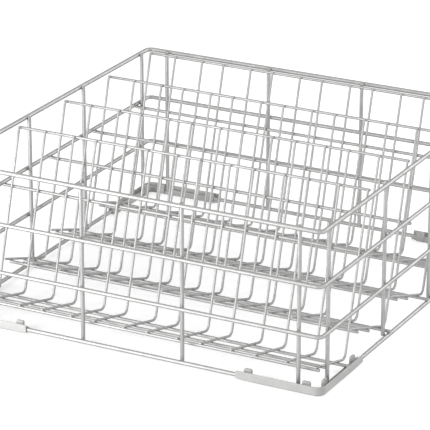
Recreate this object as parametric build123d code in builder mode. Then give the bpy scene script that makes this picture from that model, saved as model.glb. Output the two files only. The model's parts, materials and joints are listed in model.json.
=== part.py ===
"""Square wire rack for a glass washing machine: four leaning rows of bent wires in a welded frame.

Lengths are in millimetres and angles in degrees. The origin is on the floor under the rack's centre,
+X runs to the right along the front, +Y to the back and +Z up.
"""

import os
from math import cos, radians, sin

from build123d import *

# Overall size and small gaps
RACK_SIDE = 498.0  # over the corner glides, both ways
FIT_GAP = 0.1  # glide to ring, all round
WELD_GAP = 0.05  # between wires that are welded where they touch

# Rings and posts of the frame
RING_WIRE = 5.0
RIM_WIRE = 5.5
POST_WIRE = 4.8
CORNER_RADIUS = 7.5  # ring corner, to the wire's centre
LOWER_RISE = 66.3  # ring centres above the base ring's centre
UPPER_RISE = 127.3
RIM_RISE = 193.2
POST_TOP_DROP = 0.4  # post top below the top of the rim
MIDDLE_POST = 66.0  # post centres each side of the middle, on all four sides
FRONT_POST_INSET = 27.5  # end posts on the front and back, from the rings' inner face round the corner
SIDE_POST_INSET = 25.5  # end posts on the sides

# Rows of bent wires that hold the glasses
ROW_COUNT = 4
GLASSES_PER_ROW = 6
ROW_WIRE = 3.0
ROW_SIDE_GAP = 2.85  # end wires to the side posts
ROW_BACK_GAP = 3.4  # last row's top bar to the back posts
ROW_POST_GAP = 0.3  # last row's middle bar to the side posts behind it
GLASS_GAP = 39.7  # between the two wires that one glass leans on
END_GAP = 36.7  # from the outermost glass wire to the end wire
BACK_LEAN = 16.3  # of the back, from upright
BACK_LENGTH = 199.5  # from the bend's corner to the tip
BEND_RADIUS = 7.0  # to the wire's centre
BEND_RISE = 3.65  # bend's corner above the base ring's centre
FIRST_BEND_INSET = 86.3  # first row's corner behind the front rings' inner face
BASE_SLOPE = 18.6  # rise towards the front
BASE_TIP_GAP = 5.66  # along the base, from its tip to the centres of the backs in front
BASE_OVERHANG = 17.0  # of the tips, past the front bar
FIRST_BASE_SLOPE = 14.4  # the first row's base is flatter, and ends behind the front wall
FIRST_TIP_INSET = 7.85  # behind the front rings' inner face
FIRST_BASE_OVERHANG = 7.5
MIDDLE_BAR_PLACE = 50.0  # along the base, from the bend's corner
ROW_BAR = 4.0
TOP_BAR = 3.5
BAR_OVERHANG = 2.5  # of the short base bars, past the end wires' centres

# Corner glides
GLIDE_WALL = 1.4
GLIDE_SOLE = 2.6
GLIDE_LEG = 109.5  # from the outside of the corner to the leg's end
GLIDE_LIP = 4.1  # outer wall above the top of the ring
LIP_EDGE = 0.6  # rounding along the outer wall's top
GLIDE_EDGE = 3.2  # rounding under the outer wall
SOLE_EDGE = 1.2  # rounding under the inner wall
WALL_DROP = 0.1  # inner wall below the top of the ring
NOTCH_DROP = 0.6  # its notch for the posts, below the ring's centre
NOTCH_GAP = 0.6  # beside the posts
TOE_LENGTH = 26.0  # the sole sweeps up over this length
TOE_LIFT = 2.0
TAB_PLACES = (23.3, 97.2)  # tab centres, from the outside of the corner
TAB_WIDTH = 10.4
TAB_THICK = 3.2
TAB_FOOT = 1.2  # above the floor
TAB_RISE = 5.8  # above the top of the ring
TAB_CORNER = 2.0
BARB_REACH = 0.8  # over the ring
BARB_HEIGHT = 2.4
BARB_RISE = 0.4  # barb's nose above its foot

# Frame places that follow from the sizes
RING_OUTER = RACK_SIDE / 2 - GLIDE_WALL - FIT_GAP
RING_INNER = RING_OUTER - RING_WIRE
RING_HALF = RING_INNER + RING_WIRE / 2
RIM_HALF = RING_INNER + RIM_WIRE / 2
BASE_Z = GLIDE_SOLE + FIT_GAP + RING_WIRE / 2
UPPER_Z = BASE_Z + UPPER_RISE
RIM_Z = BASE_Z + RIM_RISE
POST_AXIS = RING_INNER - WELD_GAP - POST_WIRE / 2
POST_TOP = RIM_Z + RIM_WIRE / 2 - POST_TOP_DROP

# Seats of the bars: from wire centre or ring centre to bar centre
BAR_SEAT = (ROW_WIRE + ROW_BAR) / 2 + WELD_GAP
TOP_BAR_SEAT = (ROW_WIRE + TOP_BAR) / 2 + WELD_GAP
RING_SEAT = (RING_WIRE + ROW_BAR) / 2 + WELD_GAP

# Bars behind the backs, as distances behind and above a row's bend
LEAN_SIN = sin(radians(BACK_LEAN))
LEAN_COS = cos(radians(BACK_LEAN))
BEND_Z = BASE_Z + BEND_RISE
TOP_BAR_PLACE = BACK_LENGTH - TOP_BAR / 2
TOP_BAR_Y = TOP_BAR_PLACE * LEAN_SIN + TOP_BAR_SEAT * LEAN_COS
TOP_BAR_Z = BEND_Z + TOP_BAR_PLACE * LEAN_COS - TOP_BAR_SEAT * LEAN_SIN
MID_BAR_Z = UPPER_Z - RING_SEAT
MID_BAR_PLACE = (MID_BAR_Z - BEND_Z + BAR_SEAT * LEAN_SIN) / LEAN_COS
MID_BAR_Y = MID_BAR_PLACE * LEAN_SIN + BAR_SEAT * LEAN_COS

# Row places that follow from the sizes
POST_FACE = POST_AXIS - POST_WIRE / 2
ROW_HALF = POST_FACE - ROW_SIDE_GAP - ROW_WIRE / 2  # middle to end wire
PAIR_GAP = (2 * (ROW_HALF - END_GAP) - GLASSES_PER_ROW * GLASS_GAP) / (GLASSES_PER_ROW - 1)
FIRST_BEND_Y = FIRST_BEND_INSET - RING_INNER
FRONT_END_POST = RING_INNER - FRONT_POST_INSET
SIDE_END_POST = RING_INNER - SIDE_POST_INSET
TOP_BAR_LIMIT = POST_FACE - ROW_BACK_GAP - TOP_BAR / 2
MID_BAR_LIMIT = SIDE_END_POST - ROW_POST_GAP - (POST_WIRE + ROW_BAR) / 2
LAST_BEND_Y = min(TOP_BAR_LIMIT - TOP_BAR_Y, MID_BAR_LIMIT - MID_BAR_Y)
ROW_PITCH = (LAST_BEND_Y - FIRST_BEND_Y) / (ROW_COUNT - 1)


def save(part, name):
    """Label a finished piece and write it to its own file."""
    part.label = name
    export_step(part, f"parts/{name}.step")


def ring(name, half, height, wire):
    """Closed square ring of round wire with rounded corners."""
    with BuildPart() as piece:
        with BuildLine(Plane.XY.offset(height)) as path:
            corners = [(half, -half), (half, half), (-half, half), (-half, -half)]
            FilletPolyline(*corners, radius=CORNER_RADIUS, close=True)
        with BuildSketch(Plane(origin=path.line @ 0, z_dir=path.line % 0)):
            Circle(wire / 2)
        sweep(path=path.line)
    save(piece.part, name)


def post(name, x, y):
    """Upright wire welded to the inside of the rings, from the base ring to the rim."""
    with BuildPart() as piece:
        with BuildSketch(Plane.XY.offset(BASE_Z)):
            with Locations((x, y)):
                Circle(POST_WIRE / 2)
        extrude(amount=POST_TOP - BASE_Z)
    save(piece.part, name)


def posts():
    """Four posts on each side of the frame, numbered from the left or from the front."""
    front_places = [-FRONT_END_POST, -MIDDLE_POST, MIDDLE_POST, FRONT_END_POST]
    side_places = [-SIDE_END_POST, -MIDDLE_POST, MIDDLE_POST, SIDE_END_POST]
    for number, place in enumerate(front_places, start=1):
        post(f"front_post_{number}", place, -POST_AXIS)
        post(f"back_post_{number}", place, POST_AXIS)
    for number, place in enumerate(side_places, start=1):
        post(f"left_post_{number}", -POST_AXIS, place)
        post(f"right_post_{number}", POST_AXIS, place)


def wire_places():
    """Places of a row's wires along X: a pair for each glass and one wire at each end."""
    place = -ROW_HALF
    places = [place]
    for gap in [END_GAP] + [GLASS_GAP, PAIR_GAP] * (GLASSES_PER_ROW - 1) + [GLASS_GAP, END_GAP]:
        place += gap
        places.append(place)
    return places


def bent_wires(name, bend_y, slope, base_length):
    """One row's L-shaped wires, each a leaning back and a rising base joined by a round bend."""
    base_tip_y = bend_y - base_length * cos(radians(slope))
    base_tip_z = BEND_Z + base_length * sin(radians(slope))
    back_tip_y = bend_y + BACK_LENGTH * LEAN_SIN
    back_tip_z = BEND_Z + BACK_LENGTH * LEAN_COS
    with BuildPart() as wire:
        with BuildLine(Plane.YZ) as path:
            corners = [(base_tip_y, base_tip_z), (bend_y, BEND_Z), (back_tip_y, back_tip_z)]
            FilletPolyline(*corners, radius=BEND_RADIUS)
        with BuildSketch(Plane(origin=path.line @ 0, z_dir=path.line % 0)):
            Circle(ROW_WIRE / 2)
        sweep(path=path.line)
    with BuildPart() as piece:
        with Locations(*[(place, 0, 0) for place in wire_places()]):
            add(wire.part)
    save(piece.part, name)


def bar(name, y, z, wire, half_length):
    """Straight bar along X, the same length each side of the middle."""
    with BuildPart() as piece:
        with BuildSketch(Plane.YZ.offset(-half_length)):
            with Locations((y, z)):
                Circle(wire / 2)
        extrude(amount=2 * half_length)
    save(piece.part, name)


def back_bars(prefix, bend_y):
    """Bars behind the leaning backs: one flush with the tips and one under the upper ring."""
    bar(f"{prefix}_top_bar", bend_y + TOP_BAR_Y, TOP_BAR_Z, TOP_BAR, ROW_HALF + ROW_WIRE / 2)
    bar(f"{prefix}_mid_bar", bend_y + MID_BAR_Y, MID_BAR_Z, ROW_BAR, RING_OUTER)


def base_bars(prefix, bend_y, slope, front_place):
    """Bars under the base wires: the rear one lies on the base ring, the other two end short of it."""
    slope_sin = sin(radians(slope))
    slope_cos = cos(radians(slope))
    rear_place = (RING_SEAT - BEND_RISE + BAR_SEAT * slope_cos) / slope_sin
    short_half = ROW_HALF + BAR_OVERHANG
    for position, place, half_length in (
        ("rear", rear_place, RING_OUTER),
        ("middle", MIDDLE_BAR_PLACE, short_half),
        ("front", front_place, short_half),
    ):
        y = bend_y - place * slope_cos - BAR_SEAT * slope_sin
        z = BEND_Z + place * slope_sin - BAR_SEAT * slope_cos
        bar(f"{prefix}_base_{position}_bar", y, z, ROW_BAR, half_length)


def rows():
    """Glass rows from front to back; a base ends at the front wall or at the backs in front of it."""
    for number in range(1, ROW_COUNT + 1):
        if number == 1:
            slope = FIRST_BASE_SLOPE
            base_length = (FIRST_BEND_INSET - FIRST_TIP_INSET) / cos(radians(slope))
            front_place = base_length - FIRST_BASE_OVERHANG
        else:
            slope = BASE_SLOPE
            backs_in_front = ROW_PITCH * LEAN_COS / cos(radians(slope - BACK_LEAN))
            base_length = backs_in_front - BASE_TIP_GAP
            front_place = base_length - BASE_OVERHANG
        bend_y = FIRST_BEND_Y + (number - 1) * ROW_PITCH
        bent_wires(f"row_{number}_wires", bend_y, slope, base_length)
        back_bars(f"row_{number}", bend_y)
        base_bars(f"row_{number}", bend_y, slope, front_place)


def glide_section():
    """Draw the glide's channel section, with x outward and y up from the ring's centre."""
    channel_radius = RING_WIRE / 2 + FIT_GAP
    outside = channel_radius + GLIDE_WALL
    lip = RING_WIRE / 2 + GLIDE_LIP
    wall_top = RING_WIRE / 2 - WALL_DROP
    with Locations((0, -BASE_Z)):
        block = Rectangle(2 * outside, BASE_Z + lip, align=(Align.CENTER, Align.MIN))
    inner_foot, outer_foot = block.vertices().group_by(Axis.Y)[0].sort_by(Axis.X)
    outer_top = block.vertices().group_by(Axis.Y)[-1].sort_by(Axis.X)[-1]
    fillet(outer_top, radius=LIP_EDGE)
    fillet(outer_foot, radius=GLIDE_EDGE)
    fillet(inner_foot, radius=SOLE_EDGE)
    Circle(channel_radius, mode=Mode.SUBTRACT)
    Rectangle(2 * channel_radius, lip, align=(Align.CENTER, Align.MIN), mode=Mode.SUBTRACT)
    with Locations((-outside, wall_top)):
        Rectangle(2 * GLIDE_WALL, lip - wall_top, align=(Align.MIN, Align.MIN), mode=Mode.SUBTRACT)


def glide_shoe():
    """Moulded glide of the front right corner: a channel under the ring with clip tabs inside it."""
    leg_end = RACK_SIDE / 2 - GLIDE_LEG
    tab_centres = [RACK_SIDE / 2 - place for place in TAB_PLACES]
    tab_height = BASE_Z + RING_WIRE / 2 + TAB_RISE - TAB_FOOT
    tab_face = RING_INNER - FIT_GAP
    barb_foot = BASE_Z + RING_WIRE / 2
    notch_reach = POST_WIRE / 2 + NOTCH_GAP
    notch_start = min(FRONT_END_POST, SIDE_END_POST) - notch_reach
    notch_end = max(FRONT_END_POST, SIDE_END_POST) + notch_reach
    diagonal = Plane(origin=(0, 0, 0), z_dir=(1, 1, 0))
    with BuildPart() as shoe:
        # Channel swept round the corner under the ring
        with BuildLine(Plane.XY.offset(BASE_Z)) as path:
            corners = [(leg_end, -RING_HALF), (RING_HALF, -RING_HALF), (RING_HALF, -leg_end)]
            FilletPolyline(*corners, radius=CORNER_RADIUS)
        with BuildSketch(Plane(origin=path.line @ 0, x_dir=(0, -1, 0), z_dir=(-1, 0, 0))):
            glide_section()
        sweep(path=path.line)
        # Notch in the inner wall for the end post
        with BuildSketch(Plane(origin=(0, -tab_face, 0), x_dir=(1, 0, 0), z_dir=(0, -1, 0))):
            with Locations((notch_start, BASE_Z - NOTCH_DROP)):
                Rectangle(notch_end - notch_start, RING_WIRE, align=(Align.MIN, Align.MIN))
        extrude(amount=-2 * GLIDE_WALL, mode=Mode.SUBTRACT)
        # Toe: the sole sweeps up to the end of the front leg
        with BuildSketch(Plane(origin=(0, -RING_HALF, 0), x_dir=(1, 0, 0), z_dir=(0, -1, 0))):
            with BuildLine():
                Line((leg_end, TOE_LIFT), (leg_end, 0))
                Line((leg_end, 0), (leg_end + TOE_LENGTH, 0))
                TangentArc((leg_end + TOE_LENGTH, 0), (leg_end, TOE_LIFT), tangent=(-1, 0))
            make_face()
        extrude(amount=RING_WIRE + GLIDE_WALL, both=True, mode=Mode.SUBTRACT)
        # Clip tabs that rise inside the ring
        with BuildSketch(Plane(origin=(0, -tab_face, 0), x_dir=(1, 0, 0), z_dir=(0, -1, 0))) as tabs:
            with Locations(*[(centre, TAB_FOOT) for centre in tab_centres]):
                Rectangle(TAB_WIDTH, tab_height, align=(Align.CENTER, Align.MIN))
            fillet(tabs.vertices().group_by(Axis.Y)[-1], radius=TAB_CORNER)
        extrude(amount=-TAB_THICK)
        # Barbs that snap over the ring
        for centre in tab_centres:
            foot = (centre - TAB_WIDTH / 2, -tab_face, barb_foot)
            with BuildSketch(Plane(origin=foot, x_dir=(0, -1, 0), z_dir=(-1, 0, 0))):
                with BuildLine():
                    Polyline((0, 0), (BARB_REACH, BARB_RISE), (0, BARB_HEIGHT), close=True)
                make_face()
            extrude(amount=-TAB_WIDTH)
        # The side leg is the front leg's mirror image
        split(bisect_by=diagonal, keep=Keep.BOTTOM)
        mirror(about=diagonal)
    return shoe.part


def glides():
    """Four copies of one moulding, turned a quarter round the rack from corner to corner."""
    shoe = glide_shoe()
    for quarter, corner in enumerate(("front_right", "rear_right", "rear_left", "front_left")):
        with BuildPart() as piece:
            with Locations(Location((0, 0, 0), (0, 0, 90 * quarter))):
                add(shoe)
        save(piece.part, f"{corner}_glide")


os.makedirs("parts", exist_ok=True)
ring("base_ring", RING_HALF, BASE_Z, RING_WIRE)
ring("lower_ring", RING_HALF, BASE_Z + LOWER_RISE, RING_WIRE)
ring("upper_ring", RING_HALF, UPPER_Z, RING_WIRE)
ring("top_rim", RIM_HALF, RIM_Z, RIM_WIRE)
posts()
rows()
glides()
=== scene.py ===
"""Steel-wire rack for washing glasses: smooth wires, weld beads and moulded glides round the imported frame.

Lengths in the classes are in millimetres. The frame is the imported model's: the origin is on the floor under
the rack's middle, +X runs to the right along the front, +Y to the back and +Z up.
"""

from __future__ import annotations

import json
import logging
import math
from collections.abc import Iterable, Iterator, Sequence
from dataclasses import dataclass, field
from enum import Enum, IntEnum
from itertools import accumulate

import bmesh
import bpy
from bmesh.types import BMEdge, BMesh, BMFace, BMVert
from mathutils import Matrix, Vector

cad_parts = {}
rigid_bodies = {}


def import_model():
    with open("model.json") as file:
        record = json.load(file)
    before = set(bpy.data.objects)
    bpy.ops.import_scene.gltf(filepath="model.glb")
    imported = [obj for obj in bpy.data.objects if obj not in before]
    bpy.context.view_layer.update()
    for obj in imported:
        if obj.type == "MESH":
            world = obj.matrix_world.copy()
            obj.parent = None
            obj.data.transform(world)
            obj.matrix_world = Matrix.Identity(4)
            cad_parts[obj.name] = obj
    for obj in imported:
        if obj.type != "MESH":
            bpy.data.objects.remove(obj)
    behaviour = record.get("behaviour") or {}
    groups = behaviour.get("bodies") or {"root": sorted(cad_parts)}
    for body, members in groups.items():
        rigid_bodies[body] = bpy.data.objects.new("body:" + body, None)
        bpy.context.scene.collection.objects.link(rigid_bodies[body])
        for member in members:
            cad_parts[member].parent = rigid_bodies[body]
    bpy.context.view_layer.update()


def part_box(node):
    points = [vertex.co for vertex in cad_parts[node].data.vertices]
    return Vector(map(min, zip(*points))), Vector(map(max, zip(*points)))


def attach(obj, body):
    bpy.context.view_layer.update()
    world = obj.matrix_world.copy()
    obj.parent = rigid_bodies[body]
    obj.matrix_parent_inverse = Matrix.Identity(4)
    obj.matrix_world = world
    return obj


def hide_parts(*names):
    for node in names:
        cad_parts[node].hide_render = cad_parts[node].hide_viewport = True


LOG = logging.getLogger("glass_rack")
MM = 0.001
BODY = "root"
WHITE = (1.0, 1.0, 1.0, 1.0)
QUARTER_TURN = math.pi / 2
TOLERANCE = 1e-4
Colour = tuple[float, float, float]
Point = tuple[float, float, float]
Span = tuple[float, float]


class Slot(Enum):
    """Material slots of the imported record."""

    STEEL_WIRE = "steel_wire"
    GLIDE_PLASTIC = "glide_plastic"


class Axis(IntEnum):
    """Axes of the frame, by their place in a vector."""

    X = 0
    Y = 1
    Z = 2

    @property
    def direction(self) -> Vector:
        """Unit vector along the axis."""
        return Vector([float(axis is self) for axis in Axis])


class Side(Enum):
    """Walls of the rack, each with the direction from the middle out to it."""

    FRONT = (0.0, -1.0)
    BACK = (0.0, 1.0)
    LEFT = (-1.0, 0.0)
    RIGHT = (1.0, 0.0)

    @property
    def outward(self) -> Vector:
        """Direction from the rack's middle to this wall."""
        return Vector((*self.value, 0.0))


class Corner(Enum):
    """Corners of the rack, each with its quarter turns from the front right one."""

    FRONT_RIGHT = 0
    REAR_RIGHT = 1
    REAR_LEFT = 2
    FRONT_LEFT = 3


class Bar(Enum):
    """Bars that carry a row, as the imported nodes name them."""

    TOP = "top"
    MID = "mid"
    BASE_REAR = "base_rear"
    BASE_MIDDLE = "base_middle"
    BASE_FRONT = "base_front"

    @property
    def under_base(self) -> bool:
        """Whether the bar lies under the base wires and not behind the leaning ones."""
        return self in (Bar.BASE_REAR, Bar.BASE_MIDDLE, Bar.BASE_FRONT)


class Affect(Enum):
    """What a bevel rounds."""

    VERTICES = "VERTICES"
    EDGES = "EDGES"


def only(kind: type, items: Iterable[object]) -> list:
    """Return the items of one bmesh kind."""
    return [item for item in items if isinstance(item, kind)]


def edges_of(verts: Iterable[BMVert]) -> list[BMEdge]:
    """Return the edges that end at the vertices, each once."""
    return list(dict.fromkeys(edge for vert in verts for edge in vert.link_edges))


def bevel(
    mesh: BMesh,
    geom: Sequence[BMVert | BMEdge],
    offset: float,
    segments: int,
    affect: Affect,
) -> list[BMFace]:
    """Round vertices or edges.

    Args:
        mesh: Mesh that they belong to.
        geom: Vertices or edges to round.
        offset: Distance from each to where its rounding starts.
        segments: Parts of the rounding.
        affect: Whether vertices or edges are rounded.

    Returns:
        The faces of the rounding.
    """
    return bmesh.ops.bevel(
        mesh,
        geom=geom,
        offset=offset,
        offset_type="OFFSET",
        segments=segments,
        profile=0.5,
        affect=affect.value,
        material=-1,
        clamp_overlap=True,
    )["faces"]


def block(mesh: BMesh, low: Vector, high: Vector) -> list[BMVert]:
    """Add a block.

    Args:
        mesh: Mesh that takes the block.
        low: Its lowest corner.
        high: Its highest corner.

    Returns:
        The block's vertices.
    """
    verts = bmesh.ops.create_cube(mesh, size=1.0)["verts"]
    bmesh.ops.scale(mesh, vec=high - low, verts=verts)
    bmesh.ops.translate(mesh, vec=(low + high) / 2, verts=verts)
    return verts


def mesh_data(mesh: BMesh, name: str) -> bpy.types.Mesh:
    """Turn a working mesh into mesh data.

    Args:
        mesh: Working mesh, which is freed.
        name: Name of the data.

    Returns:
        The mesh data.
    """
    data = bpy.data.meshes.new(name)
    mesh.to_mesh(data)
    mesh.free()
    return data


def add_object(name: str, data: bpy.types.ID) -> bpy.types.Object:
    """Add an object to the scene.

    Args:
        name: Name of the object.
        data: Mesh, lamp or camera that it holds.

    Returns:
        The object, at the origin.
    """
    made = bpy.data.objects.new(name, data)
    bpy.context.scene.collection.objects.link(made)
    return made


@dataclass(frozen=True)
class NodeBox:
    """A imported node's box, in millimetres."""

    low: Vector
    high: Vector

    @classmethod
    def of(cls, node: str) -> NodeBox:
        """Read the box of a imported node."""
        low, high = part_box(node)
        return cls(low / MM, high / MM)

    @property
    def middle(self) -> Vector:
        """Middle of the box."""
        return (self.low + self.high) / 2

    @property
    def size(self) -> Vector:
        """Edge lengths of the box."""
        return self.high - self.low


@dataclass
class Sweep:
    """A loop of edges drawn along straight runs and bends to leave a skin behind it.

    Args:
        mesh: Mesh that takes the skin.
        loop: Edges of the section at the drawn end.
        point: Middle of the section at the drawn end.
        heading: Unit direction in which the next run goes.
    """

    mesh: BMesh
    loop: list[BMEdge]
    point: Vector
    heading: Vector
    first_loop: list[BMEdge] = field(init=False)
    first_point: Vector = field(init=False)
    first_heading: Vector = field(init=False)

    def __post_init__(self) -> None:
        """Remember the section that the sweep starts from."""
        self.first_loop = list(self.loop)
        self.first_point = self.point.copy()
        self.first_heading = -self.heading

    @classmethod
    def of_wire(cls, mesh: BMesh, diameter: float, sides: int, point: Vector, heading: Vector) -> Sweep:
        """Start a round wire.

        Args:
            mesh: Mesh that takes the skin.
            diameter: Diameter of the wire.
            sides: Sides of the round section.
            point: Middle of the first section.
            heading: Direction of the first run.

        Returns:
            A sweep whose loop is the wire's circle.
        """
        ahead = heading.normalized()
        circle = bmesh.ops.create_circle(
            mesh,
            cap_ends=False,
            segments=sides,
            radius=diameter / 2,
            matrix=Matrix.Translation(point) @ ahead.to_track_quat("Z", "Y").to_matrix().to_4x4(),
        )
        return cls(mesh, edges_of(circle["verts"]), point.copy(), ahead)

    def _extrude(self, loop: list[BMEdge]) -> tuple[list[BMEdge], list[BMVert]]:
        """Extrude a loop in place and return the new loop and its vertices."""
        made = bmesh.ops.extrude_edge_only(self.mesh, edges=loop)["geom"]
        return only(BMEdge, made), only(BMVert, made)

    def run(self, length: float, steps: int = 1) -> None:
        """Draw the section straight ahead.

        Args:
            length: Length of the run.
            steps: Equal parts that the run is made in.
        """
        ahead = self.heading * (length / steps)
        for _ in range(steps):
            self.loop, verts = self._extrude(self.loop)
            bmesh.ops.translate(self.mesh, vec=ahead, verts=verts)
            self.point = self.point + ahead

    def bend(self, radius: float, toward: Vector, angle: float, steps: int) -> None:
        """Draw the section round a bend.

        Args:
            radius: Radius to the section's middle.
            toward: Unit direction from the section's middle to the bend's centre.
            angle: Angle of the bend, in radians.
            steps: Equal parts that the bend is made in.
        """
        centre = self.point + toward * radius
        axis = self.heading.cross(toward)
        verts = list(dict.fromkeys(vert for edge in self.loop for vert in edge.verts))
        made = bmesh.ops.spin(
            self.mesh,
            geom=self.loop + verts,
            cent=centre,
            axis=axis,
            dvec=(0.0, 0.0, 0.0),
            angle=angle,
            space=Matrix.Identity(4),
            steps=steps,
            use_merge=False,
            use_normal_flip=False,
            use_duplicate=False,
        )
        self.loop = only(BMEdge, made["geom_last"])
        turn = Matrix.Rotation(angle, 3, axis)
        self.point = centre + turn @ (self.point - centre)
        self.heading = turn @ self.heading

    def round_ends(self, diameter: float, rounding: float, steps: int = 3) -> None:
        """Close both ends of a round wire with a flat cut whose edge is rounded.

        Args:
            diameter: Diameter of the wire.
            rounding: Radius of the rounded edge, which also lengthens the wire at each end.
            steps: Parts that the rounding is made in.
        """
        for loop, point, heading in (
            (self.first_loop, self.first_point, self.first_heading),
            (self.loop, self.point, self.heading),
        ):
            radius, ahead = diameter / 2, 0.0
            for step in range(1, steps + 1):
                turn = QUARTER_TURN * step / steps
                new_radius = diameter / 2 - rounding * (1 - math.cos(turn))
                new_ahead = rounding * math.sin(turn)
                loop, verts = self._extrude(loop)
                bmesh.ops.translate(self.mesh, vec=heading * (new_ahead - ahead), verts=verts)
                share = new_radius / radius
                centre = Matrix.Translation(-(point + heading * new_ahead))
                bmesh.ops.scale(self.mesh, vec=(share, share, share), space=centre, verts=verts)
                radius, ahead = new_radius, new_ahead
            bmesh.ops.edgeloop_fill(self.mesh, edges=loop)


class SurfaceGrain:
    """Shader group of soft patches and fine grain that every finish of the rack shares."""

    NAME = "surface_grain"
    INPUTS = {
        "Vector": "NodeSocketVector",
        "Colour": "NodeSocketColor",
        "Tint": "NodeSocketColor",
        "Patch Scale": "NodeSocketFloat",
        "Grain Scale": "NodeSocketFloat",
        "Smooth": "NodeSocketFloat",
        "Rough": "NodeSocketFloat",
    }
    OUTPUTS = {
        "Colour": "NodeSocketColor",
        "Roughness": "NodeSocketFloat",
        "Height": "NodeSocketFloat",
    }
    NOISE_ROUGHNESS = 0.55
    PATCH_DETAIL = 3.0
    GRAIN_DETAIL = 2.0
    GRAIN_SHARE = 0.6
    PATCH_SPAN = (0.35, 0.7)
    HEIGHT_SPAN = (0.3, 0.7)
    MIX_FACTOR = 0
    MIX_COLOURS = (6, 7)
    MIX_RESULT = 2

    def __init__(self) -> None:
        """Build the group once."""
        self.tree = bpy.data.node_groups.new(self.NAME, "ShaderNodeTree")
        for in_out, sockets in (("INPUT", self.INPUTS), ("OUTPUT", self.OUTPUTS)):
            for name, kind in sockets.items():
                self.tree.interface.new_socket(name, in_out=in_out, socket_type=kind)
        self._nodes()

    def _noise(self, given: bpy.types.Node, scale: str, detail: float) -> bpy.types.NodeSocket:
        """Add a noise texture at a scale that the material gives.

        Args:
            given: The group's input node.
            scale: Name of the input that sets the scale.
            detail: Octaves of finer noise.

        Returns:
            The socket that holds the noise.
        """
        noise = self.tree.nodes.new("ShaderNodeTexNoise")
        noise.inputs["Detail"].default_value = detail
        noise.inputs["Roughness"].default_value = self.NOISE_ROUGHNESS
        self.tree.links.new(given.outputs["Vector"], noise.inputs["Vector"])
        self.tree.links.new(given.outputs[scale], noise.inputs["Scale"])
        return noise.outputs["Fac"]

    def _share(self, value: bpy.types.NodeSocket, share: float) -> bpy.types.Node:
        """Add a node that takes a share of a value.

        Args:
            value: Socket that holds the value.
            share: Share that is taken.

        Returns:
            The node, whose third input is added to the share.
        """
        taken = self.tree.nodes.new("ShaderNodeMath")
        taken.operation = "MULTIPLY_ADD"
        taken.inputs[1].default_value = share
        taken.inputs[2].default_value = 0.0
        self.tree.links.new(value, taken.inputs[0])
        return taken

    def _stretch(self, value: bpy.types.NodeSocket, span: Span) -> bpy.types.Node:
        """Add a node that stretches a span of a value.

        Args:
            value: Socket that holds the value.
            span: Lowest and highest value of the span.

        Returns:
            The node, which stretches from zero to one unless it is given other ends.
        """
        stretched = self.tree.nodes.new("ShaderNodeMapRange")
        stretched.inputs["From Min"].default_value, stretched.inputs["From Max"].default_value = span
        self.tree.links.new(value, stretched.inputs["Value"])
        return stretched

    def _nodes(self) -> None:
        """Lay out the patches, the grain and what they drive."""
        nodes, link = self.tree.nodes, self.tree.links.new
        given = nodes.new("NodeGroupInput")
        made = nodes.new("NodeGroupOutput")
        patch = self._noise(given, "Patch Scale", self.PATCH_DETAIL)
        grain = self._noise(given, "Grain Scale", self.GRAIN_DETAIL)

        tone = nodes.new("ShaderNodeMix")
        tone.data_type = "RGBA"
        link(self._stretch(patch, self.PATCH_SPAN).outputs["Result"], tone.inputs[self.MIX_FACTOR])
        for name, index in zip(("Colour", "Tint"), self.MIX_COLOURS):
            link(given.outputs[name], tone.inputs[index])
        link(tone.outputs[self.MIX_RESULT], made.inputs["Colour"])

        swell = self._share(patch, 1 - self.GRAIN_SHARE)
        height = self._share(grain, self.GRAIN_SHARE)
        link(swell.outputs["Value"], height.inputs[2])
        link(height.outputs["Value"], made.inputs["Height"])

        sheen = self._stretch(height.outputs["Value"], self.HEIGHT_SPAN)
        link(given.outputs["Smooth"], sheen.inputs["To Min"])
        link(given.outputs["Rough"], sheen.inputs["To Max"])
        link(sheen.outputs["Result"], made.inputs["Roughness"])


@dataclass(frozen=True)
class Finish:
    """A surface's colour, sheen and grain.

    Args:
        name: Name of the material.
        slot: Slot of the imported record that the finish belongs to.
        colour: Main colour, linear.
        tint: Colour of the soft patches, linear.
        patch_scale: Patches per metre.
        grain_scale: Grains per metre.
        smooth: Lowest roughness.
        rough: Highest roughness.
        bump_height: Height of the grain.
        specular: Level of the plain reflection.
        metallic: One for bare metal and zero for plastic.
        edge: Tint of the reflection at a glancing angle.
    """

    name: str
    slot: Slot
    colour: Colour
    tint: Colour
    patch_scale: float
    grain_scale: float
    smooth: float
    rough: float
    bump_height: float
    specular: float
    metallic: float
    edge: float = 1.0

    def material(self, grain: SurfaceGrain) -> bpy.types.Material:
        """Make the finish's material.

        Args:
            grain: The shared grain group.

        Returns:
            A material that reads Object coordinates.
        """
        made = bpy.data.materials.new(self.name)
        made.use_nodes = True
        nodes, link = made.node_tree.nodes, made.node_tree.links.new
        shader = nodes["Principled BSDF"]
        shader.inputs["Specular IOR Level"].default_value = self.specular
        shader.inputs["Metallic"].default_value = self.metallic
        shader.inputs["Specular Tint"].default_value = (self.edge, self.edge, self.edge, 1.0)
        place = nodes.new("ShaderNodeTexCoord")
        group = nodes.new("ShaderNodeGroup")
        group.node_tree = grain.tree
        for socket, value in (
            ("Colour", (*self.colour, 1.0)),
            ("Tint", (*self.tint, 1.0)),
            ("Patch Scale", self.patch_scale),
            ("Grain Scale", self.grain_scale),
            ("Smooth", self.smooth),
            ("Rough", self.rough),
        ):
            group.inputs[socket].default_value = value
        bump = nodes.new("ShaderNodeBump")
        bump.inputs["Distance"].default_value = self.bump_height * MM
        link(place.outputs["Object"], group.inputs["Vector"])
        link(group.outputs["Colour"], shader.inputs["Base Color"])
        link(group.outputs["Roughness"], shader.inputs["Roughness"])
        link(group.outputs["Height"], bump.inputs["Height"])
        link(bump.outputs["Normal"], shader.inputs["Normal"])
        return made


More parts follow.
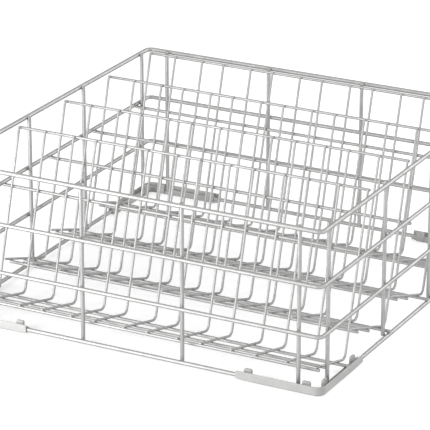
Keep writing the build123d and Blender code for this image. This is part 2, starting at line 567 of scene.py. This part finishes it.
@dataclass
class Dresser:
    """Turns millimetre meshes into finished pieces that ride on the rack.

    Args:
        materials: Material of each slot.
        merge_distance: Distance within which vertices become one.
        sharp_angle: Angle above which an edge is shaded sharp, in degrees.
    """

    materials: dict[Slot, bpy.types.Material]
    merge_distance: float = 0.002
    sharp_angle: float = 50.0

    def piece(self, mesh: BMesh, name: str, slot: Slot, nodes: Sequence[str] = ()) -> None:
        """Finish one piece, which stays at the origin.

        Args:
            mesh: Mesh in millimetres, which is freed.
            name: Name of the piece.
            slot: Material slot that dresses it.
            nodes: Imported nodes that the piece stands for.
        """
        bmesh.ops.remove_doubles(mesh, verts=mesh.verts[:], dist=self.merge_distance)
        bmesh.ops.recalc_face_normals(mesh, faces=mesh.faces[:])
        bmesh.ops.scale(mesh, vec=(MM, MM, MM), verts=mesh.verts[:])
        data = mesh_data(mesh, name)
        data.shade_smooth()
        data.set_sharp_from_angle(angle=math.radians(self.sharp_angle))
        data.materials.append(self.materials[slot])
        made = add_object(name, data)
        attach(made, BODY)
        if nodes:
            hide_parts(*nodes)
        LOG.info("%s: %d faces", name, len(data.polygons))


@dataclass(frozen=True)
class Weld:
    """A place where two wires cross and are welded.

    Args:
        point: Point where the wires touch.
        normal: Direction from the lower wire's centre to the upper wire's centre.
        lower_along: Direction of the lower wire.
        lower_radius: Radius of the lower wire.
        upper_radius: Radius of the upper wire.
    """

    point: Vector
    normal: Vector
    lower_along: Vector
    lower_radius: float
    upper_radius: float

    @property
    def place(self) -> Matrix:
        """Place of the weld, with X along the lower wire and Z up to the upper one."""
        across = self.normal.cross(self.lower_along).normalized()
        turn = Matrix((self.lower_along.normalized(), across, self.normal.normalized())).transposed()
        return Matrix.Translation(self.point) @ turn.to_4x4()

    def crevice(self, x: float, y: float) -> Span:
        """Work out how far the crevice reaches at a point beside the weld.

        Args:
            x: Distance from the weld along the lower wire.
            y: Distance from the weld across the lower wire.

        Returns:
            Heights of the lower and the upper wire's skin.
        """
        under = math.sqrt(self.lower_radius**2 - y**2) - self.lower_radius
        over = self.upper_radius - math.sqrt(self.upper_radius**2 - x**2)
        return under, over


@dataclass(frozen=True)
class Bead:
    """Shape of the bead that fills the crevice round a weld, with a hollow rim.

    Args:
        reach: Radius of the bead, as a share of the thinner wire's radius.
        waist: Radius of the rim's waist, as a share of the bead's.
        sides: Sides of the bead's round outline.
        rim_parts: Parts of the rim from the lower wire to the upper one.
    """

    reach: float
    waist: float
    sides: int
    rim_parts: int = 2

    def _fill(self, mesh: BMesh, weld: Weld) -> None:
        """Add the bead of one weld.

        Args:
            mesh: Mesh that takes the bead.
            weld: Weld that it fills.
        """
        radius = self.reach * min(weld.lower_radius, weld.upper_radius)
        foot = bmesh.ops.create_circle(mesh, cap_ends=False, segments=self.sides, radius=radius)["verts"]
        loop = edges_of(foot)
        layers = [foot]
        bmesh.ops.edgeloop_fill(mesh, edges=loop)
        for _ in range(self.rim_parts):
            made = bmesh.ops.extrude_edge_only(mesh, edges=loop)["geom"]
            loop = only(BMEdge, made)
            layers.append(only(BMVert, made))
        bmesh.ops.edgeloop_fill(mesh, edges=loop)
        for level, layer in enumerate(layers):
            for vert in layer:
                under, over = weld.crevice(vert.co.x, vert.co.y)
                vert.co.z = under + (over - under) * level / self.rim_parts
        bmesh.ops.scale(mesh, vec=(self.waist, self.waist, 1.0), verts=layers[self.rim_parts // 2])
        bmesh.ops.transform(mesh, matrix=weld.place, verts=sum(layers, []))

    def lay(self, welds: Iterable[Weld], name: str, dresser: Dresser) -> None:
        """Fill welds with beads that make one piece.

        Args:
            welds: Welds to fill.
            name: Name of the piece.
            dresser: Dresser that finishes it.
        """
        mesh = bmesh.new()
        for weld in welds:
            self._fill(mesh, weld)
        dresser.piece(mesh, name, Slot.STEEL_WIRE)


@dataclass
class PackedWire:
    """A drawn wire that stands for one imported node.

    Args:
        node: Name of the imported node.
    """

    node: str
    box: NodeBox = field(init=False)

    def __post_init__(self) -> None:
        """Take the wire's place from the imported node."""
        self.box = NodeBox.of(self.node)

    def finish(self, mesh: BMesh, dresser: Dresser) -> None:
        """Finish the wire's mesh as the piece that stands for its node."""
        dresser.piece(mesh, f"{self.node}_drawn", Slot.STEEL_WIRE, [self.node])


@dataclass
class StraightWire(PackedWire):
    """A cut length of wire: a post or a bar.

    Args:
        axis: Axis that it runs along.
        sides: Sides of the round section.
        run_steps: Parts that the wire is drawn in.
        end_rounding: Radius of the rounded edge at each end.
    """

    axis: Axis
    sides: int = 18
    run_steps: int = 4
    end_rounding: float = 0.5

    @property
    def diameter(self) -> float:
        """Diameter of the wire."""
        return self.box.size[(self.axis + 1) % len(Axis)]

    def build(self, dresser: Dresser) -> None:
        """Draw the wire with rounded ends.

        Args:
            dresser: Dresser that finishes it.
        """
        mesh = bmesh.new()
        start = self.box.middle
        start[self.axis] = self.box.low[self.axis] + self.end_rounding
        wire = Sweep.of_wire(mesh, self.diameter, self.sides, start, self.axis.direction)
        wire.run(self.box.size[self.axis] - 2 * self.end_rounding, self.run_steps)
        wire.round_ends(self.diameter, self.end_rounding)
        self.finish(mesh, dresser)


@dataclass
class WireRing(PackedWire):
    """A closed ring of wire with rounded corners.

    Args:
        corner_radius: Radius of the wire's centre at a corner.
        sides: Sides of the round section.
        run_steps: Parts that half a side is drawn in.
        corner_steps: Parts that a corner is drawn in.
    """

    corner_radius: float = 7.5
    sides: int = 20
    run_steps: int = 2
    corner_steps: int = 10

    @property
    def wire(self) -> float:
        """Diameter of the ring's wire."""
        return self.box.size.z

    @property
    def half(self) -> float:
        """Distance from the rack's middle to the wire's centre."""
        return (self.box.size.x - self.wire) / 2

    @property
    def height(self) -> float:
        """Height of the wire's centre."""
        return self.box.middle.z

    def build(self, dresser: Dresser) -> None:
        """Draw the ring round its four corners, from the middle of the front.

        Args:
            dresser: Dresser that finishes it.
        """
        mesh = bmesh.new()
        straight = self.half - self.corner_radius
        start = Vector((0, -self.half, self.height))
        ring = Sweep.of_wire(mesh, self.wire, self.sides, start, Axis.X.direction)
        for _ in Corner:
            ring.run(straight, self.run_steps)
            inward = Axis.Z.direction.cross(ring.heading)
            ring.bend(self.corner_radius, inward, QUARTER_TURN, self.corner_steps)
            ring.run(straight, self.run_steps)
        self.finish(mesh, dresser)


@dataclass
class WallFrame:
    """Rings and posts that make the rack's walls.

    Args:
        ring_nodes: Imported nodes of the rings, from the base up.
        posts_per_side: Posts in each wall.
        post_end_rounding: Radius of the rounded edge at each end of a post.
        bead: Shape of the beads between posts and rings.
        base_weld_lift: Height of the lowest beads above the base ring's centre.
    """

    ring_nodes: tuple[str, ...] = ("base_ring", "lower_ring", "upper_ring", "top_rim")
    posts_per_side: int = 4
    post_end_rounding: float = 1.1
    bead: Bead = Bead(reach=0.8, waist=0.8, sides=12)
    base_weld_lift: float = 1.6
    rings: list[WireRing] = field(init=False)
    posts: dict[Side, list[StraightWire]] = field(init=False)

    def __post_init__(self) -> None:
        """Find the rings and the posts of each wall."""
        self.rings = [WireRing(node) for node in self.ring_nodes]
        self.posts = {side: self._wall_posts(side) for side in Side}

    @property
    def base_ring(self) -> WireRing:
        """Lowest ring, which the glides clip to."""
        return self.rings[0]

    def _wall_posts(self, side: Side) -> list[StraightWire]:
        """Return the posts of one wall."""
        nodes = [f"{side.name.lower()}_post_{number + 1}" for number in range(self.posts_per_side)]
        return [StraightWire(node, Axis.Z, end_rounding=self.post_end_rounding) for node in nodes]

    def welds(self) -> Iterator[Weld]:
        """Find the welds between posts and rings.

        Yields:
            The welds, post by post.
        """
        for side, posts in self.posts.items():
            along = side.outward.cross(Axis.Z.direction)
            for post in posts:
                for ring in self.rings:
                    lift = self.base_weld_lift if ring is self.base_ring else 0.0
                    to_ring = ring.half - ring.wire / 2 - post.box.middle.dot(side.outward)
                    touch = post.box.middle + side.outward * to_ring
                    touch.z = ring.height + lift
                    yield Weld(touch, -side.outward, along, ring.wire / 2, post.diameter / 2)

    def build(self, dresser: Dresser) -> None:
        """Build the walls and the beads at their welds.

        Args:
            dresser: Dresser that finishes the pieces.
        """
        for ring in self.rings:
            ring.build(dresser)
        for posts in self.posts.values():
            for post in posts:
                post.build(dresser)
        self.bead.lay(self.welds(), "wall_weld_beads", dresser)


@dataclass
class GlassRow:
    """One row of bent wires with the bars that carry it.

    Args:
        number: Row number from the front.
        base_slope: Rise of the base towards the front, in degrees.
        back_lean: Lean of the back from upright, in degrees.
        bend_radius: Radius of the wire's centre at the bend.
        wire: Diameter of the bent wires.
        glasses: Glasses that the row holds.
        glass_gap: Distance between the two wires behind a glass.
        end_gap: Distance from an end wire to the next one.
        sides: Sides of the round section.
        base_steps: Parts that the base is drawn in.
        bend_steps: Parts that the bend is drawn in.
        back_steps: Parts that the back is drawn in.
        end_rounding: Radius of the rounded edge at each end of a bent wire.
        bead: Shape of the beads between the wires, the bars and the rings.
    """

    number: int
    base_slope: float
    back_lean: float = 16.3
    bend_radius: float = 7.0
    wire: float = 3.0
    glasses: int = 6
    glass_gap: float = 39.7
    end_gap: float = 36.7
    sides: int = 14
    base_steps: int = 2
    bend_steps: int = 8
    back_steps: int = 4
    end_rounding: float = 0.9
    bead: Bead = Bead(reach=0.85, waist=0.8, sides=10)
    box: NodeBox = field(init=False)
    bars: dict[Bar, StraightWire] = field(init=False)

    def __post_init__(self) -> None:
        """Take the row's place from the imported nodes."""
        self.box = NodeBox.of(f"row_{self.number}_wires")
        self.bars = {bar: StraightWire(f"row_{self.number}_{bar.value}_bar", Axis.X) for bar in Bar}

    @property
    def to_bend(self) -> Vector:
        """Direction along the base from its tip to the bend."""
        slope = math.radians(self.base_slope)
        return Vector((0, math.cos(slope), -math.sin(slope)))

    @property
    def to_tip(self) -> Vector:
        """Direction along the back from the bend to its tip."""
        lean = math.radians(self.back_lean)
        return Vector((0, math.sin(lean), math.cos(lean)))

    @property
    def turn(self) -> float:
        """Angle of the bend, in radians."""
        return self.to_bend.angle(self.to_tip)

    def places(self) -> list[float]:
        """Space the row's wires, with a pair behind each glass and one at each end.

        Returns:
            Places of the wires along X, from left to right.
        """
        half = self.box.size.x / 2 - self.wire / 2
        pair_gap = (2 * (half - self.end_gap) - self.glasses * self.glass_gap) / (self.glasses - 1)
        inner_gaps = [self.glass_gap, pair_gap] * (self.glasses - 1)
        gaps = [self.end_gap, *inner_gaps, self.glass_gap, self.end_gap]
        return list(accumulate(gaps, initial=-half))

    def _corner_height(self) -> float:
        """Work out the height of the wires' sharp corner.

        Returns:
            The height that puts the bend's underside on the floor of the row's box.
        """
        inside = (self.to_tip - self.to_bend).normalized()
        bend_centre = self.box.low.z + self.wire / 2 + self.bend_radius
        return bend_centre - inside.z * self.bend_radius / math.cos(self.turn / 2)

    def corner(self) -> tuple[Vector, float, float]:
        """Work out the wires' sharp corner and the lengths of base and back from the row's box.

        Returns:
            The corner with X at zero, the base's length and the back's length.
        """
        radius = self.wire / 2
        base_tip_y = self.box.low.y - radius * self.to_bend.z
        back_tip_y = self.box.high.y - radius * self.to_tip.z
        back_tip_z = self.box.high.z - radius * self.to_tip.y
        corner = Vector((0, 0, self._corner_height()))
        back_length = (back_tip_z - corner.z) / self.to_tip.z
        corner.y = back_tip_y - back_length * self.to_tip.y
        base_length = (corner.y - base_tip_y) / self.to_bend.y
        return corner, base_length, back_length

    def _bent_wire(self, mesh: BMesh, x: float, corner: Vector, base: float, back: float) -> None:
        """Draw one bent wire.

        Args:
            mesh: Mesh that takes the wire.
            x: Place of the wire along X.
            corner: The wire's sharp corner.
            base: Length of the base from the corner.
            back: Length of the back from the corner.
        """
        tangent = self.bend_radius * math.tan(self.turn / 2)
        start = corner - self.to_bend * (base - self.end_rounding)
        start.x = x
        wire = Sweep.of_wire(mesh, self.wire, self.sides, start, self.to_bend)
        wire.run(base - tangent - self.end_rounding, self.base_steps)
        wire.bend(self.bend_radius, Axis.X.direction.cross(self.to_bend), self.turn, self.bend_steps)
        wire.run(back - tangent - self.end_rounding, self.back_steps)
        wire.round_ends(self.wire, self.end_rounding)

    def _wire_welds(self, bar: StraightWire, corner: Vector, run: Vector) -> Iterator[Weld]:
        """Find the welds between a bar and the bent wires.

        Args:
            bar: Bar that crosses the wires.
            corner: The wires' sharp corner.
            run: Direction along the wires where the bar crosses them, away from the corner.

        Yields:
            The weld of each bent wire, from left to right.
        """
        radius = self.wire / 2
        offset = bar.box.middle - corner
        offset.x = 0
        foot = corner + run * offset.dot(run)
        away = (corner + offset - foot).normalized()
        for x in self.places():
            touch = foot + away * radius
            touch.x = x
            yield Weld(touch, away, run, radius, bar.diameter / 2)

    def _ring_welds(self, bar: StraightWire, up: Vector) -> Iterator[Weld]:
        """Find the welds between a bar and a ring.

        Args:
            bar: Bar that may reach the ring.
            up: Direction from the bar to the ring.

        Yields:
            The welds at both ends of the bar, or none where it is too short.
        """
        ring = NodeBox.of("upper_ring")
        if bar.box.high.x < ring.high.x - ring.size.z:
            return
        for side in (Side.LEFT, Side.RIGHT):
            touch = bar.box.middle + up * bar.diameter / 2
            touch.x = side.outward.x * (ring.high.x - ring.size.z / 2)
            yield Weld(touch, up, Axis.X.direction, bar.diameter / 2, ring.size.z / 2)

    def welds(self, corner: Vector) -> Iterator[Weld]:
        """Find the welds between the row's wires, its bars and the rings.

        Args:
            corner: The wires' sharp corner.

        Yields:
            The welds, bar by bar.
        """
        for kind, bar in self.bars.items():
            yield from self._wire_welds(bar, corner, -self.to_bend if kind.under_base else self.to_tip)
            yield from self._ring_welds(bar, Axis.Z.direction * (1 if kind is Bar.MID else -1))

    def build(self, dresser: Dresser) -> None:
        """Build the row's wires, its bars and the beads at their welds.

        Args:
            dresser: Dresser that finishes the pieces.
        """
        corner, base, back = self.corner()
        LOG.info("row %d: base %.2f mm, back %.2f mm", self.number, base, back)
        mesh = bmesh.new()
        for x in self.places():
            self._bent_wire(mesh, x, corner, base, back)
        row = f"row_{self.number}"
        dresser.piece(mesh, f"{row}_bent_wires", Slot.STEEL_WIRE, [f"{row}_wires"])
        for bar in self.bars.values():
            bar.build(dresser)
        self.bead.lay(self.welds(corner), f"{row}_weld_beads", dresser)


@dataclass(frozen=True)
class ClipTab:
    """Clip tab on the front leg of a glide, with a barb that snaps over the ring.

    Args:
        face: Distance from the rack's middle to the tab's face.
        thickness: Thickness of the tab.
        width: Width of the tab.
        foot: Height of the tab's foot, inside the sole.
        top: Height of the tab.
        corner: Rounding of the upper corners.
        corner_segments: Parts of that rounding.
        edge: Bevel round the upper edges.
        edge_segments: Parts of that bevel.
        rim_angle: Angle above which an edge is bevelled, in degrees.
        barb_foot: Height of the barb's foot.
        barb_reach: Distance that the barb stands out from the tab.
        barb_height: Height of the barb from its foot.
        barb_rise: Rise of the barb's underside to its tip.
    """

    face: float = 242.4
    thickness: float = 3.2
    width: float = 10.4
    foot: float = 1.2
    top: float = 13.5
    corner: float = 2.0
    corner_segments: int = 5
    edge: float = 0.5
    edge_segments: int = 2
    rim_angle: float = 40.0
    barb_foot: float = 7.7
    barb_reach: float = 0.8
    barb_height: float = 2.4
    barb_rise: float = 0.4

    def _plate(self, mesh: BMesh, place: float) -> None:
        """Add the tab itself, with a rounded top.

        Args:
            mesh: Mesh that takes the tab.
            place: Middle of the tab along X.
        """
        half = self.width / 2
        low = Vector((place - half, -self.face, self.foot))
        high = Vector((place + half, self.thickness - self.face, self.top))
        across = []
        for edge in edges_of(block(mesh, low, high)):
            start, end = (vert.co for vert in edge.verts)
            if min(start.z, end.z) > high.z - TOLERANCE and abs(start.y - end.y) > TOLERANCE:
                across.append(edge)
        near = set(bevel(mesh, across, self.corner, self.corner_segments, Affect.EDGES))
        near |= {other for face in near for edge in face.edges for other in edge.link_faces}
        sharp = math.radians(self.rim_angle)
        rims = []
        for edge in mesh.edges:
            if edge.calc_face_angle(0.0) > sharp and not near.isdisjoint(edge.link_faces):
                rims.append(edge)
        bevel(mesh, rims, self.edge, self.edge_segments, Affect.EDGES)

    def _barb(self, mesh: BMesh, place: float) -> None:
        """Add the barb, which slopes back to the tab's face at its top.

        Args:
            mesh: Mesh that takes the barb.
            place: Middle of the tab along X.
        """
        half = self.width / 2 - self.edge
        top = self.barb_foot + self.barb_height
        low = Vector((place - half, -self.face - self.barb_reach, self.barb_foot))
        high = Vector((place + half, self.edge - self.face, top))
        for vert in block(mesh, low, high):
            if vert.co.y < -self.face - self.barb_reach / 2:
                if vert.co.z > self.barb_foot + self.barb_height / 2:
                    vert.co.y = -self.face
                else:
                    vert.co.z += self.barb_rise

    def add(self, mesh: BMesh, place: float) -> None:
        """Add the tab and its barb at a place along X."""
        self._plate(mesh, place)
        self._barb(mesh, place)


@dataclass
class CornerGlide:
    """Moulded glide that clips under the base ring at a corner.

    Places along a leg are distances from the rack's middle. Widths in the channel's section are measured from
    the ring's line, and heights from the floor.

    Args:
        corner_radius: Radius of the ring's line at the corner.
        outside: Half of the section's width.
        channel: Half of the channel's width.
        sole: Thickness of the sole.
        inner_top: Height of the inner wall.
        outer_top: Height of the outer wall.
        outer_rounding: Rounding of the outer wall's foot.
        inner_rounding: Rounding of the inner wall's foot.
        lip_rounding: Rounding of the walls' lips.
        channel_rounding: Rounding of the channel's floor.
        section_segments: Parts of a rounding in the section.
        corner_steps: Parts that the corner is drawn in.
        notch: Ends of the notch in the inner wall.
        notch_floor: Height of the inner wall in the notch.
        notch_side: Length of the notch's steep sides.
        toe_length: Length of the swept-up sole at the end of a leg.
        toe_lift: Height of the sole at the end of a leg.
        toe_steps: Parts that the toe is drawn in.
        end_bevel: Bevel round the end of a leg.
        end_segments: Parts of that bevel.
        tab: Clip tab that holds the ring.
        tab_places: Middles of a leg's clip tabs.
    """

    corner_radius: float = WireRing.corner_radius
    outside: float = 4.0
    channel: float = 2.6
    sole: float = 2.6
    inner_top: float = 7.6
    outer_top: float = 11.8
    outer_rounding: float = 3.2
    inner_rounding: float = 1.2
    lip_rounding: float = 0.5
    channel_rounding: float = 2.4
    section_segments: int = 4
    corner_steps: int = 12
    notch: Span = (212.0, 220.0)
    notch_floor: float = 4.6
    notch_side: float = 0.2
    toe_length: float = 26.0
    toe_lift: float = 2.0
    toe_steps: int = 10
    end_bevel: float = 0.4
    end_segments: int = 2
    tab: ClipTab = ClipTab()
    tab_places: tuple[float, ...] = (225.7, 151.8)
    box: NodeBox = field(init=False)

    def __post_init__(self) -> None:
        """Take the glide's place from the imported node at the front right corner."""
        self.box = NodeBox.of("front_right_glide")

    @property
    def line(self) -> float:
        """Distance from the rack's middle to the ring's line."""
        return self.box.high.x - self.outside

    @property
    def leg_end(self) -> float:
        """Distance from the rack's middle to the end of a leg."""
        return self.box.low.x

    def _section(self, mesh: BMesh) -> list[BMEdge]:
        """Draw the rounded channel section at the end of the front leg.

        Args:
            mesh: Mesh that takes the section.

        Returns:
            The section's edges.
        """
        corners = (
            (-self.outside, 0.0, self.inner_rounding),
            (self.outside, 0.0, self.outer_rounding),
            (self.outside, self.outer_top, self.lip_rounding),
            (self.channel, self.outer_top, self.lip_rounding),
            (self.channel, self.sole, self.channel_rounding),
            (-self.channel, self.sole, self.channel_rounding),
            (-self.channel, self.inner_top, 0.0),
            (-self.outside, self.inner_top, self.lip_rounding),
        )
        verts = [mesh.verts.new((self.leg_end, -self.line - out, up)) for out, up, _ in corners]
        mesh.faces.new(verts)
        for vert, (_, _, rounding) in zip(verts, corners):
            if rounding:
                bevel(mesh, [vert], rounding, self.section_segments, Affect.VERTICES)
        bmesh.ops.delete(mesh, geom=mesh.faces[:], context="FACES_ONLY")
        return mesh.edges[:]

    def _runs(self) -> tuple[float, ...]:
        """Divide a leg's straight run at the sides of its notch.

        Returns:
            Lengths of the parts, from the toe to the corner.
        """
        near, far = self.notch
        stops = (
            self.leg_end + self.toe_length,
            near,
            near + self.notch_side,
            far - self.notch_side,
            far,
            self.line - self.corner_radius,
        )
        return tuple(stop - start for start, stop in zip(stops, stops[1:]))

    def _toe(self, along: float) -> float:
        """Work out how far the sole is swept up.

        Args:
            along: Place along a leg.

        Returns:
            Height of the sole's underside there.
        """
        left = max(0.0, self.leg_end + self.toe_length - along)
        radius = (self.toe_length**2 + self.toe_lift**2) / (2 * self.toe_lift)
        return radius - math.sqrt(radius**2 - left**2)

    def _shape_legs(self, mesh: BMesh) -> None:
        """Lift the soles of the toes and cut the notches.

        Args:
            mesh: Mesh with the swept channel alone.
        """
        near, far = self.notch[0] + self.notch_side / 2, self.notch[1] - self.notch_side / 2
        for vert in mesh.verts:
            along, out = sorted((vert.co.x, -vert.co.y))
            if vert.co.z < self.sole:
                lift = self._toe(along)
                vert.co.z = lift + vert.co.z * (self.sole - lift) / self.sole
            elif near < along < far and out < self.line:
                vert.co.z = min(vert.co.z, self.notch_floor)

    def _channel(self, mesh: BMesh) -> None:
        """Sweep the channel round the corner, shape its legs and close their ends.

        Args:
            mesh: Mesh that takes the channel.
        """
        start = Vector((self.leg_end, -self.line, 0))
        sweep = Sweep(mesh, self._section(mesh), start, Axis.X.direction)
        sweep.run(self.toe_length, self.toe_steps)
        for length in self._runs():
            sweep.run(length)
        sweep.bend(self.corner_radius, Axis.Y.direction, QUARTER_TURN, self.corner_steps)
        for length in reversed(self._runs()):
            sweep.run(length)
        sweep.run(self.toe_length, self.toe_steps)
        self._shape_legs(mesh)
        for loop in (sweep.first_loop, sweep.loop):
            cap = bmesh.ops.edgeloop_fill(mesh, edges=loop)["faces"][0]
            bevel(mesh, cap.edges[:], self.end_bevel, self.end_segments, Affect.EDGES)

    def _front_right(self) -> BMesh:
        """Build the glide of the front right corner, with the same clips on both legs.

        Returns:
            The glide's mesh.
        """
        mesh = bmesh.new()
        self._channel(mesh)
        channel = set(mesh.verts)
        for place in self.tab_places:
            self.tab.add(mesh, place)
        verts = [vert for vert in mesh.verts if vert not in channel]
        faces = [face for face in mesh.faces if channel.isdisjoint(face.verts)]
        copies = bmesh.ops.duplicate(mesh, geom=verts + faces)["geom"]
        to_side_leg = Matrix(((0, -1, 0), (-1, 0, 0), (0, 0, 1))).to_4x4()
        bmesh.ops.transform(mesh, matrix=to_side_leg, verts=only(BMVert, copies))
        return mesh

    def build(self, dresser: Dresser) -> None:
        """Build the four glides, each turned a quarter round the rack.

        Args:
            dresser: Dresser that finishes the pieces.
        """
        for corner in Corner:
            mesh = self._front_right()
            turn = Matrix.Rotation(QUARTER_TURN * corner.value, 3, "Z")
            bmesh.ops.rotate(mesh, cent=(0, 0, 0), matrix=turn, verts=mesh.verts[:])
            name = corner.name.lower()
            dresser.piece(mesh, f"{name}_moulded_glide", Slot.GLIDE_PLASTIC, [f"{name}_glide"])


@dataclass(frozen=True)
class SoftLamp:
    """A square soft lamp.

    Args:
        name: Name of the lamp.
        place: Its place, in metres.
        target: Point that it faces, in metres.
        size: Side of the lamp, in metres.
        power: Power in watts.
    """

    name: str
    place: Point
    target: Point
    size: float
    power: float

    def build(self) -> None:
        """Hang the lamp."""
        data = bpy.data.lights.new(self.name, "AREA")
        data.energy = self.power
        data.size = self.size
        lamp = add_object(self.name, data)
        lamp.location = self.place
        lamp.rotation_euler = (Vector(self.target) - Vector(self.place)).to_track_quat("-Z", "Y").to_euler()


@dataclass
class Studio:
    """Floor, light and camera round the rack.

    Args:
        floor_size: Side of the floor, in metres.
        floor_colour: Colour of the floor, linear.
        floor_roughness: Roughness of the floor.
        floor_specular: Level of the floor's plain reflection.
        floor_glow: Lowest and highest glow that whitens the floor.
        floor_fade: Distances from the key lamp's foot over which the glow rises, in metres.
        ambient: Strength of the even light from all round.
        view_target: Point that the camera faces.
        view_azimuth: Turn of the camera from the front to the right, in degrees.
        view_elevation: Angle of the camera above the floor, in degrees.
        view_distance: Distance from the target to the camera.
        lens: Focal length of the camera.
        sensor: Width of the camera's sensor.
        sight: Farthest distance that the camera shows, in metres.
        lamps: Lamps, with the key lamp first.
    """

    floor_size: float = 30.0
    floor_colour: Colour = (0.8, 0.8, 0.8)
    floor_roughness: float = 0.9
    floor_specular: float = 0.1
    floor_glow: Span = (0.38, 0.64)
    floor_fade: Span = (0.75, 1.65)
    ambient: float = 0.48
    view_target: Point = (-27.4, 18.5, 80.8)
    view_azimuth: float = 27.74
    view_elevation: float = 21.05
    view_distance: float = 3600.9
    lens: float = 244.76
    sensor: float = 36.0
    sight: float = 100.0
    lamps: tuple[SoftLamp, ...] = (
        SoftLamp("key", (-0.6, -1.05, 0.3), (0.0, -0.1, 0.08), 0.6, 12.0),
        SoftLamp("rim", (0.95, 1.3, 0.8), (0.2, 0.0, 0.1), 0.5, 10.0),
        SoftLamp("fill", (1.5, -0.5, 0.5), (0.2, 0.0, 0.05), 1.0, 4.0),
    )

    def _seen(self, tree: bpy.types.NodeTree) -> bpy.types.NodeSocket:
        """Add a value that is one for rays that show the background.

        Args:
            tree: Node tree of the floor or the world.

        Returns:
            The socket that holds the value.
        """
        path = tree.nodes.new("ShaderNodeLightPath")
        total = path.outputs["Is Camera Ray"]
        for name in ("Is Glossy Ray", "Is Transmission Ray"):
            larger = tree.nodes.new("ShaderNodeMath")
            larger.operation = "MAXIMUM"
            tree.links.new(total, larger.inputs[0])
            tree.links.new(path.outputs[name], larger.inputs[1])
            total = larger.outputs["Value"]
        return total

    def _floor_paint(self) -> bpy.types.Material:
        """Make the floor's pale paint, whose glow rises where the key lamp's light falls off.

        Returns:
            The floor's material.
        """
        paint = bpy.data.materials.new("studio_floor")
        paint.use_nodes = True
        tree = paint.node_tree
        shader = tree.nodes["Principled BSDF"]
        shader.inputs["Base Color"].default_value = (*self.floor_colour, 1.0)
        shader.inputs["Roughness"].default_value = self.floor_roughness
        shader.inputs["Specular IOR Level"].default_value = self.floor_specular
        shader.inputs["Emission Color"].default_value = WHITE
        place = tree.nodes.new("ShaderNodeTexCoord")
        from_key = tree.nodes.new("ShaderNodeVectorMath")
        from_key.operation = "DISTANCE"
        from_key.inputs[1].default_value = (*self.lamps[0].place[:2], 0.0)
        fade = tree.nodes.new("ShaderNodeMapRange")
        fade.inputs["From Min"].default_value, fade.inputs["From Max"].default_value = self.floor_fade
        fade.inputs["To Min"].default_value, fade.inputs["To Max"].default_value = self.floor_glow
        glow = tree.nodes.new("ShaderNodeMath")
        glow.operation = "MULTIPLY"
        tree.links.new(place.outputs["Object"], from_key.inputs[0])
        tree.links.new(from_key.outputs["Value"], fade.inputs["Value"])
        tree.links.new(self._seen(tree), glow.inputs[0])
        tree.links.new(fade.outputs["Result"], glow.inputs[1])
        tree.links.new(glow.outputs["Value"], shader.inputs["Emission Strength"])
        return paint

    def _floor(self) -> None:
        """Lay the pale floor, which shows almost white and keeps soft shadows."""
        mesh = bmesh.new()
        bmesh.ops.create_grid(mesh, x_segments=1, y_segments=1, size=self.floor_size / 2)
        data = mesh_data(mesh, "studio_floor")
        data.materials.append(self._floor_paint())
        floor = add_object("studio_floor", data)

    def _world(self) -> None:
        """Set the even light from all round, with a white background."""
        world = bpy.data.worlds.new("studio")
        world.use_nodes = True
        tree = world.node_tree
        tree.nodes.clear()
        light = tree.nodes.new("ShaderNodeBackground")
        light.inputs["Strength"].default_value = self.ambient
        light.inputs["Color"].default_value = WHITE
        white = tree.nodes.new("ShaderNodeBackground")
        white.inputs["Color"].default_value = WHITE
        mix = tree.nodes.new("ShaderNodeMixShader")
        out = tree.nodes.new("ShaderNodeOutputWorld")
        tree.links.new(self._seen(tree), mix.inputs["Fac"])
        tree.links.new(light.outputs["Background"], mix.inputs[1])
        tree.links.new(white.outputs["Background"], mix.inputs[2])
        tree.links.new(mix.outputs["Shader"], out.inputs["Surface"])
        bpy.context.scene.world = world

    def _camera(self) -> None:
        """Set up the camera at the photograph's viewing angle."""
        azimuth, elevation = math.radians(self.view_azimuth), math.radians(self.view_elevation)
        level = math.cos(elevation)
        back = Vector((math.sin(azimuth) * level, -math.cos(azimuth) * level, math.sin(elevation)))
        data = bpy.data.cameras.new("camera")
        data.lens = self.lens
        data.sensor_width = self.sensor
        data.clip_end = self.sight
        camera = add_object("camera", data)
        camera.location = (Vector(self.view_target) + back * self.view_distance) * MM
        camera.rotation_euler = (-back).to_track_quat("-Z", "Y").to_euler()
        bpy.context.scene.camera = camera

    def build(self) -> None:
        """Set up the whole studio."""
        self._floor()
        self._world()
        self._camera()
        for lamp in self.lamps:
            lamp.build()
        bpy.context.scene.view_settings.view_transform = "Standard"


FINISHES = (
    Finish(
        name="satin_steel_wire",
        slot=Slot.STEEL_WIRE,
        colour=(0.46, 0.46, 0.457),
        tint=(0.42, 0.42, 0.417),
        patch_scale=45.0,
        grain_scale=900.0,
        smooth=0.5,
        rough=0.65,
        bump_height=0.04,
        specular=0.5,
        metallic=1.0,
        edge=0.1,
    ),
    Finish(
        name="moulded_glide_grey",
        slot=Slot.GLIDE_PLASTIC,
        colour=(0.54, 0.54, 0.535),
        tint=(0.5, 0.5, 0.49),
        patch_scale=70.0,
        grain_scale=1600.0,
        smooth=0.42,
        rough=0.6,
        bump_height=0.04,
        specular=0.4,
        metallic=0.0,
    ),
)
ROW_SLOPES = (14.4, 18.6, 18.6, 18.6)


def clear_scene() -> None:
    """Take the start-up objects out of the scene."""
    for item in list(bpy.data.objects):
        bpy.data.objects.remove(item)


def main() -> None:
    """Build the rack's pieces in order, then the studio."""
    logging.basicConfig(level=logging.INFO, format="%(name)s: %(message)s")
    clear_scene()
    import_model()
    grain = SurfaceGrain()
    dresser = Dresser({finish.slot: finish.material(grain) for finish in FINISHES})
    WallFrame().build(dresser)
    for number, slope in enumerate(ROW_SLOPES, start=1):
        GlassRow(number, slope).build(dresser)
    CornerGlide().build(dresser)
    Studio().build()


if __name__ == "__main__":
    main()
